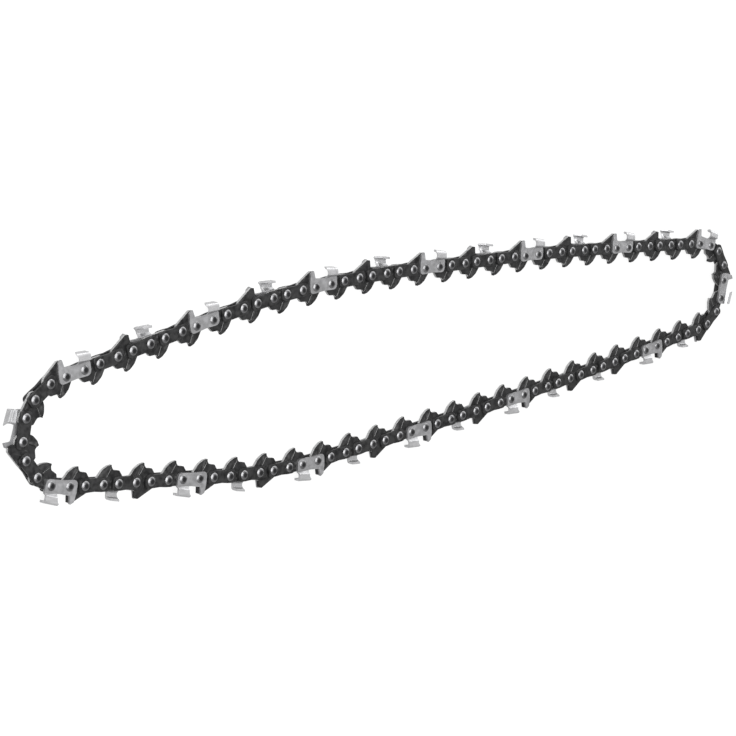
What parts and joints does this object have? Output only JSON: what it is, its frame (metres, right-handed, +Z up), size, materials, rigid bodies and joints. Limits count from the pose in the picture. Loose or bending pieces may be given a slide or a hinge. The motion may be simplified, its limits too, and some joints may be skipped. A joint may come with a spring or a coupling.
{
  "type": "chainsaw chain",
  "caption": "Closed loop of saw chain lying flat: drive links with hooked tangs, tie straps, rivets and left and right cutters with depth gauges, hinged at the rivets.",
  "frame": {"origin": "middle of the underside of the chain lying flat", "axes": "X along the loop, Y across it, Z up along the rivets"},
  "size_m": [0.5088, 0.1004, 0.0066],
  "materials": {
    "cutter_steel": "satin",
    "dark_steel": "blackened, satin",
    "rivet_steel": "blackened, polished"
  },
  "bodies": {
    "pitch_00": {"pitch_00_right_cutter": "cutter_steel"},
    "pitch_01": {"pitch_01_tie_straps": "dark_steel"},
    "side_link_02": {"left_cutter_02": "cutter_steel", "tie_strap_02": "dark_steel", "trailing_rivet_02": "rivet_steel", "leading_rivet_02": "rivet_steel"},
    "drive_link_02_body": {"drive_link_02": "dark_steel"},
    "pitch_03": {"pitch_03_tie_straps": "dark_steel"},
    "pitch_04": {"pitch_04_right_cutter": "cutter_steel"},
    "pitch_05": {"pitch_05_tie_straps": "dark_steel"},
    "pitch_06": {"pitch_06_left_cutter": "cutter_steel"},
    "pitch_07": {"pitch_07_tie_straps": "dark_steel"},
    "pitch_08": {"pitch_08_right_cutter": "cutter_steel"},
    "pitch_09": {"pitch_09_tie_straps": "dark_steel"},
    "pitch_10": {"pitch_10_left_cutter": "cutter_steel"},
    "pitch_11": {"pitch_11_tie_straps": "dark_steel"},
    "pitch_12": {"pitch_12_right_cutter": "cutter_steel"},
    "pitch_13": {"pitch_13_tie_straps": "dark_steel"},
    "pitch_14": {"pitch_14_left_cutter": "cutter_steel"},
    "pitch_15": {"pitch_15_tie_straps": "dark_steel"},
    "pitch_16": {"pitch_16_right_cutter": "cutter_steel"},
    "pitch_17": {"pitch_17_tie_straps": "dark_steel"},
    "pitch_18": {"pitch_18_left_cutter": "cutter_steel"},
    "pitch_19": {"pitch_19_tie_straps": "dark_steel"},
    "pitch_20": {"pitch_20_right_cutter": "cutter_steel"},
    "pitch_21": {"pitch_21_tie_straps": "dark_steel"},
    "pitch_22": {"pitch_22_right_cutter": "cutter_steel"},
    "pitch_23": {"pitch_23_tie_straps": "dark_steel"},
    "pitch_24": {"pitch_24_left_cutter": "cutter_steel"},
    "pitch_25": {"pitch_25_tie_straps": "dark_steel"},
    "pitch_26": {"pitch_26_right_cutter": "cutter_steel"},
    "pitch_27": {"pitch_27_tie_straps": "dark_steel"},
    "pitch_28": {"pitch_28_left_cutter": "cutter_steel"},
    "pitch_29": {"pitch_29_tie_straps": "dark_steel"},
    "pitch_30": {"pitch_30_left_cutter": "cutter_steel"},
    "pitch_31": {"pitch_31_tie_straps": "dark_steel"},
    "pitch_32": {"pitch_32_right_cutter": "cutter_steel"},
    "pitch_33": {"pitch_33_tie_straps": "dark_steel"},
    "pitch_34": {"pitch_34_left_cutter": "cutter_steel"},
    "pitch_35": {"pitch_35_tie_straps": "dark_steel"},
    "pitch_36": {"pitch_36_right_cutter": "cutter_steel"},
    "pitch_37": {"pitch_37_tie_straps": "dark_steel"},
    "pitch_38": {"pitch_38_left_cutter": "cutter_steel"},
    "pitch_39": {"pitch_39_tie_straps": "dark_steel"},
    "pitch_40": {"pitch_40_right_cutter": "cutter_steel"},
    "pitch_41": {"pitch_41_tie_straps": "dark_steel"},
    "pitch_42": {"pitch_42_left_cutter": "cutter_steel"},
    "pitch_43": {"pitch_43_tie_straps": "dark_steel"},
    "pitch_44": {"pitch_44_right_cutter": "cutter_steel"},
    "pitch_45": {"pitch_45_tie_straps": "dark_steel"},
    "pitch_46": {"pitch_46_left_cutter": "cutter_steel"},
    "pitch_47": {"pitch_47_tie_straps": "dark_steel"},
    "pitch_48": {"pitch_48_right_cutter": "cutter_steel"},
    "pitch_49": {"pitch_49_tie_straps": "dark_steel"},
    "pitch_50": {"pitch_50_left_cutter": "cutter_steel"},
    "pitch_51": {"pitch_51_tie_straps": "dark_steel"},
    "pitch_52": {"pitch_52_right_cutter": "cutter_steel"},
    "pitch_53": {"pitch_53_tie_straps": "dark_steel"},
    "pitch_54": {"pitch_54_left_cutter": "cutter_steel"},
    "pitch_55": {"pitch_55_tie_straps": "dark_steel"}
  },
  "joints": [
    {"name": "hinge_16", "type": "hinge", "parent": "pitch_15", "child": "pitch_16", "pos_m": [0.02707, -0.03827, 0.0033], "axis": [0, 0, 1], "range_deg": [-10.05, 6.1]},
    {"name": "hinge_17", "type": "hinge", "parent": "pitch_16", "child": "pitch_17", "pos_m": [0.04569, -0.03736, 0.0033], "axis": [0, 0, 1], "range_deg": [-12.1, 20]},
    {"name": "hinge_18", "type": "hinge", "parent": "pitch_17", "child": "pitch_18", "pos_m": [0.0643, -0.03638, 0.0033], "axis": [0, 0, 1], "range_deg": [-10.05, 6.1]},
    {"name": "hinge_19", "type": "hinge", "parent": "pitch_18", "child": "pitch_19", "pos_m": [0.08291, -0.03532, 0.0033], "axis": [0, 0, 1], "range_deg": [-12.1, 12.1]},
    {"name": "hinge_20", "type": "hinge", "parent": "pitch_19", "child": "pitch_20", "pos_m": [0.10151, -0.03417, 0.0033], "axis": [0, 0, 1], "range_deg": [-12.15, 12.15]},
    {"name": "hinge_21", "type": "hinge", "parent": "pitch_20", "child": "pitch_21", "pos_m": [0.12011, -0.03292, 0.0033], "axis": [0, 0, 1], "range_deg": [-12.15, 12.15]},
    {"name": "hinge_22", "type": "hinge", "parent": "pitch_21", "child": "pitch_22", "pos_m": [0.1387, -0.03158, 0.0033], "axis": [0, 0, 1], "range_deg": [-12.15, 12.15]},
    {"name": "hinge_23", "type": "hinge", "parent": "pitch_22", "child": "pitch_23", "pos_m": [0.15729, -0.03016, 0.0033], "axis": [0, 0, 1], "range_deg": [-10.3, 12.1]},
    {"name": "hinge_24", "type": "hinge", "parent": "pitch_23", "child": "pitch_24", "pos_m": [0.17587, -0.02867, 0.0033], "axis": [0, 0, 1], "range_deg": [-12.15, 10.35]},
    {"name": "hinge_25", "type": "hinge", "parent": "pitch_24", "child": "pitch_25", "pos_m": [0.19444, -0.02701, 0.0033], "axis": [0, 0, 1], "range_deg": [-12.15, 10.35]},
    {"name": "hinge_26", "type": "hinge", "parent": "pitch_25", "child": "pitch_26", "pos_m": [0.21299, -0.02525, 0.0033], "axis": [0, 0, 1], "range_deg": [-10.35, 12.15]},
    {"name": "hinge_27", "type": "hinge", "parent": "pitch_26", "child": "pitch_27", "pos_m": [0.23136, -0.02255, 0.0033], "axis": [0, 0, 1], "range_deg": [-8.21, 4.44]},
    {"name": "hinge_28", "type": "hinge", "parent": "pitch_27", "child": "pitch_28", "pos_m": [0.24403, -0.00942, 0.0033], "axis": [0, 0, 1], "range_deg": [-10.1, 18.8]},
    {"name": "hinge_29", "type": "hinge", "parent": "pitch_28", "child": "pitch_29", "pos_m": [0.2458, 0.009, 0.0033], "axis": [0, 0, 1], "range_deg": [-17.46, 9.4]},
    {"name": "hinge_30", "type": "hinge", "parent": "pitch_29", "child": "pitch_30", "pos_m": [0.23331, 0.02208, 0.0033], "axis": [0, 0, 1], "range_deg": [-3.69, 6.83]},
    {"name": "hinge_31", "type": "hinge", "parent": "pitch_30", "child": "pitch_31", "pos_m": [0.21494, 0.025, 0.0033], "axis": [0, 0, 1], "range_deg": [-10.05, 6.05]},
    {"name": "hinge_32", "type": "hinge", "parent": "pitch_31", "child": "pitch_32", "pos_m": [0.19639, 0.02684, 0.0033], "axis": [0, 0, 1], "range_deg": [-12, 20]},
    {"name": "hinge_33", "type": "hinge", "parent": "pitch_32", "child": "pitch_33", "pos_m": [0.17783, 0.02861, 0.0033], "axis": [0, 0, 1], "range_deg": [-10.05, 6.05]},
    {"name": "hinge_34", "type": "hinge", "parent": "pitch_33", "child": "pitch_34", "pos_m": [0.15927, 0.03032, 0.0033], "axis": [0, 0, 1], "range_deg": [-10.05, 6.05]},
    {"name": "hinge_35", "type": "hinge", "parent": "pitch_34", "child": "pitch_35", "pos_m": [0.14071, 0.03197, 0.0033], "axis": [0, 0, 1], "range_deg": [-12, 20]},
    {"name": "hinge_36", "type": "hinge", "parent": "pitch_35", "child": "pitch_36", "pos_m": [0.12213, 0.03358, 0.0033], "axis": [0, 0, 1], "range_deg": [-10.05, 6.05]},
    {"name": "hinge_37", "type": "hinge", "parent": "pitch_36", "child": "pitch_37", "pos_m": [0.10355, 0.03506, 0.0033], "axis": [0, 0, 1], "range_deg": [-10.05, 6.25]},
    {"name": "hinge_38", "type": "hinge", "parent": "pitch_37", "child": "pitch_38", "pos_m": [0.08496, 0.03634, 0.0033], "axis": [0, 0, 1], "range_deg": [-12.4, 20]},
    {"name": "hinge_39", "type": "hinge", "parent": "pitch_38", "child": "pitch_39", "pos_m": [0.06635, 0.03739, 0.0033], "axis": [0, 0, 1], "range_deg": [-10.05, 6.25]},
    {"name": "hinge_40", "type": "hinge", "parent": "pitch_39", "child": "pitch_40", "pos_m": [0.04773, 0.03828, 0.0033], "axis": [0, 0, 1], "range_deg": [-10.05, 6]},
    {"name": "hinge_41", "type": "hinge", "parent": "pitch_40", "child": "pitch_41", "pos_m": [0.02911, 0.03911, 0.0033], "axis": [0, 0, 1], "range_deg": [-11.9, 20]},
    {"name": "hinge_42", "type": "hinge", "parent": "pitch_41", "child": "pitch_42", "pos_m": [0.01049, 0.03996, 0.0033], "axis": [0, 0, 1], "range_deg": [-10.05, 6]},
    {"name": "hinge_15", "type": "hinge", "parent": "pitch_15", "child": "pitch_14", "pos_m": [0.00845, -0.03911, 0.0033], "axis": [0, 0, -1], "range_deg": [-11.95, 12.15]},
    {"name": "hinge_14", "type": "hinge", "parent": "pitch_14", "child": "pitch_13", "pos_m": [-0.01018, -0.03989, 0.0033], "axis": [0, 0, -1], "range_deg": [-12.15, 11.95]},
    {"name": "hinge_13", "type": "hinge", "parent": "pitch_13", "child": "pitch_12", "pos_m": [-0.0288, -0.04058, 0.0033], "axis": [0, 0, -1], "range_deg": [-12.15, 11.95]},
    {"name": "hinge_12", "type": "hinge", "parent": "pitch_12", "child": "pitch_11", "pos_m": [-0.04743, -0.04117, 0.0033], "axis": [0, 0, -1], "range_deg": [-11.9, 12.1]},
    {"name": "hinge_11", "type": "hinge", "parent": "pitch_11", "child": "pitch_10", "pos_m": [-0.06607, -0.04171, 0.0033], "axis": [0, 0, -1], "range_deg": [-10.05, 6.7]},
    {"name": "hinge_10", "type": "hinge", "parent": "pitch_10", "child": "pitch_09", "pos_m": [-0.08471, -0.04171, 0.0033], "axis": [0, 0, -1], "range_deg": [-13.3, 20]},
    {"name": "hinge_09", "type": "hinge", "parent": "pitch_09", "child": "pitch_08", "pos_m": [-0.10333, -0.04089, 0.0033], "axis": [0, 0, -1], "range_deg": [-10.05, 6.7]},
    {"name": "hinge_08", "type": "hinge", "parent": "pitch_08", "child": "pitch_07", "pos_m": [-0.1219, -0.03931, 0.0033], "axis": [0, 0, -1], "range_deg": [-10.05, 6.3]},
    {"name": "hinge_07", "type": "hinge", "parent": "pitch_07", "child": "pitch_06", "pos_m": [-0.14036, -0.03677, 0.0033], "axis": [0, 0, -1], "range_deg": [-12.5, 20]},
    {"name": "hinge_06", "type": "hinge", "parent": "pitch_06", "child": "pitch_05", "pos_m": [-0.15878, -0.03388, 0.0033], "axis": [0, 0, -1], "range_deg": [-10.05, 6.3]},
    {"name": "hinge_05", "type": "hinge", "parent": "pitch_05", "child": "pitch_04", "pos_m": [-0.17722, -0.03119, 0.0033], "axis": [0, 0, -1], "range_deg": [-10.37, 9.21]},
    {"name": "hinge_04", "type": "hinge", "parent": "pitch_04", "child": "pitch_03", "pos_m": [-0.19567, -0.0285, 0.0033], "axis": [0, 0, -1], "range_deg": [-12.19, 13.73]},
    {"name": "hinge_03", "type": "hinge", "parent": "pitch_03", "child": "drive_link_02_body", "pos_m": [-0.21409, -0.02566, 0.0033], "axis": [0, 0, -1], "range_deg": [-10.47, 11.79]},
    {"name": "hinge_02_leading", "type": "hinge", "parent": "drive_link_02_body", "child": "side_link_02", "pos_m": [-0.22255, -0.0242, 0.0033], "axis": [0, 0, -1], "range_deg": [-15.1, 13.4]},
    {"name": "hinge_02", "type": "hinge", "parent": "side_link_02", "child": "pitch_01", "pos_m": [-0.23235, -0.02193, 0.0033], "axis": [0, 0, -1], "range_deg": [-5.17, 6.18]},
    {"name": "hinge_01", "type": "hinge", "parent": "pitch_01", "child": "pitch_00", "pos_m": [-0.2449, -0.00859, 0.0033], "axis": [0, 0, -1], "range_deg": [-14.99, 12.53]},
    {"name": "hinge_00", "type": "hinge", "parent": "pitch_00", "child": "pitch_55", "pos_m": [-0.24389, 0.00972, 0.0033], "axis": [0, 0, -1], "range_deg": [-12.7, 15.2]},
    {"name": "hinge_55", "type": "hinge", "parent": "pitch_55", "child": "pitch_54", "pos_m": [-0.23045, 0.02215, 0.0033], "axis": [0, 0, -1], "range_deg": [-6.44, 5.39]},
    {"name": "hinge_54", "type": "hinge", "parent": "pitch_54", "child": "pitch_53", "pos_m": [-0.21208, 0.02518, 0.0033], "axis": [0, 0, -1], "range_deg": [-10.05, 6.1]},
    {"name": "hinge_53", "type": "hinge", "parent": "pitch_53", "child": "pitch_52", "pos_m": [-0.19365, 0.02796, 0.0033], "axis": [0, 0, -1], "range_deg": [-12.1, 20]},
    {"name": "hinge_52", "type": "hinge", "parent": "pitch_52", "child": "pitch_51", "pos_m": [-0.1752, 0.03066, 0.0033], "axis": [0, 0, -1], "range_deg": [-10.05, 6.1]},
    {"name": "hinge_51", "type": "hinge", "parent": "pitch_51", "child": "pitch_50", "pos_m": [-0.15675, 0.0333, 0.0033], "axis": [0, 0, -1], "range_deg": [-12.15, 12.15]},
    {"name": "hinge_50", "type": "hinge", "parent": "pitch_50", "child": "pitch_49", "pos_m": [-0.13828, 0.03583, 0.0033], "axis": [0, 0, -1], "range_deg": [-12.15, 12.15]},
    {"name": "hinge_49", "type": "hinge", "parent": "pitch_49", "child": "pitch_48", "pos_m": [-0.1198, 0.03826, 0.0033], "axis": [0, 0, -1], "range_deg": [-12.15, 12.15]},
    {"name": "hinge_48", "type": "hinge", "parent": "pitch_48", "child": "pitch_47", "pos_m": [-0.10127, 0.04027, 0.0033], "axis": [0, 0, -1], "range_deg": [-12.1, 12.1]},
    {"name": "hinge_47", "type": "hinge", "parent": "pitch_47", "child": "pitch_46", "pos_m": [-0.08267, 0.04137, 0.0033], "axis": [0, 0, -1], "range_deg": [-12.55, 12.45]},
    {"name": "hinge_46", "type": "hinge", "parent": "pitch_46", "child": "pitch_45", "pos_m": [-0.06403, 0.04182, 0.0033], "axis": [0, 0, -1], "range_deg": [-12.45, 12.55]},
    {"name": "hinge_45", "type": "hinge", "parent": "pitch_45", "child": "pitch_44", "pos_m": [-0.04539, 0.04191, 0.0033], "axis": [0, 0, -1], "range_deg": [-12.45, 12.55]},
    {"name": "hinge_44", "type": "hinge", "parent": "pitch_44", "child": "pitch_43", "pos_m": [-0.02676, 0.04162, 0.0033], "axis": [0, 0, -1], "range_deg": [-12.5, 12.4]}
  ],
  "couplings": [
    {"joint": "hinge_16", "follows": "hinge_17", "ratio": -0.5},
    {"joint": "hinge_18", "follows": "hinge_17", "ratio": -0.5},
    {"joint": "hinge_20", "follows": "hinge_19", "ratio": -1},
    {"joint": "hinge_21", "follows": "hinge_19", "ratio": -1},
    {"joint": "hinge_22", "follows": "hinge_19", "ratio": 1},
    {"joint": "hinge_24", "follows": "hinge_23", "ratio": -1},
    {"joint": "hinge_25", "follows": "hinge_23", "ratio": -1},
    {"joint": "hinge_26", "follows": "hinge_23", "ratio": 0.99999},
    {"joint": "hinge_27", "follows": "hinge_28", "ratio": -0.4343},
    {"joint": "hinge_29", "follows": "hinge_28", "ratio": -0.92612},
    {"joint": "hinge_30", "follows": "hinge_28", "ratio": 0.36042},
    {"joint": "hinge_31", "follows": "hinge_32", "ratio": -0.5},
    {"joint": "hinge_33", "follows": "hinge_32", "ratio": -0.5},
    {"joint": "hinge_34", "follows": "hinge_35", "ratio": -0.5},
    {"joint": "hinge_36", "follows": "hinge_35", "ratio": -0.5},
    {"joint": "hinge_37", "follows": "hinge_38", "ratio": -0.5},
    {"joint": "hinge_39", "follows": "hinge_38", "ratio": -0.5},
    {"joint": "hinge_40", "follows": "hinge_41", "ratio": -0.5},
    {"joint": "hinge_42", "follows": "hinge_41", "ratio": -0.5},
    {"joint": "hinge_15", "follows": "hinge_12", "ratio": 1},
    {"joint": "hinge_14", "follows": "hinge_12", "ratio": -1},
    {"joint": "hinge_13", "follows": "hinge_12", "ratio": -1},
    {"joint": "hinge_11", "follows": "hinge_10", "ratio": -0.50001},
    {"joint": "hinge_09", "follows": "hinge_10", "ratio": -0.49999},
    {"joint": "hinge_08", "follows": "hinge_07", "ratio": -0.50002},
    {"joint": "hinge_06", "follows": "hinge_07", "ratio": -0.49998},
    {"joint": "hinge_05", "follows": "hinge_02_leading", "ratio": 0.6834},
    {"joint": "hinge_04", "follows": "hinge_02_leading", "ratio": -0.90603},
    {"joint": "hinge_03", "follows": "hinge_02_leading", "ratio": -0.77737},
    {"joint": "hinge_02", "follows": "hinge_00", "ratio": 0.40328},
    {"joint": "hinge_01", "follows": "hinge_00", "ratio": -0.98266},
    {"joint": "hinge_55", "follows": "hinge_00", "ratio": -0.42062},
    {"joint": "hinge_54", "follows": "hinge_53", "ratio": -0.5},
    {"joint": "hinge_52", "follows": "hinge_53", "ratio": -0.5},
    {"joint": "hinge_51", "follows": "hinge_48", "ratio": 0.99991},
    {"joint": "hinge_50", "follows": "hinge_48", "ratio": -0.99997},
    {"joint": "hinge_49", "follows": "hinge_48", "ratio": -0.99994},
    {"joint": "hinge_47", "follows": "hinge_44", "ratio": 1},
    {"joint": "hinge_46", "follows": "hinge_44", "ratio": -1},
    {"joint": "hinge_45", "follows": "hinge_44", "ratio": -1}
  ]
}
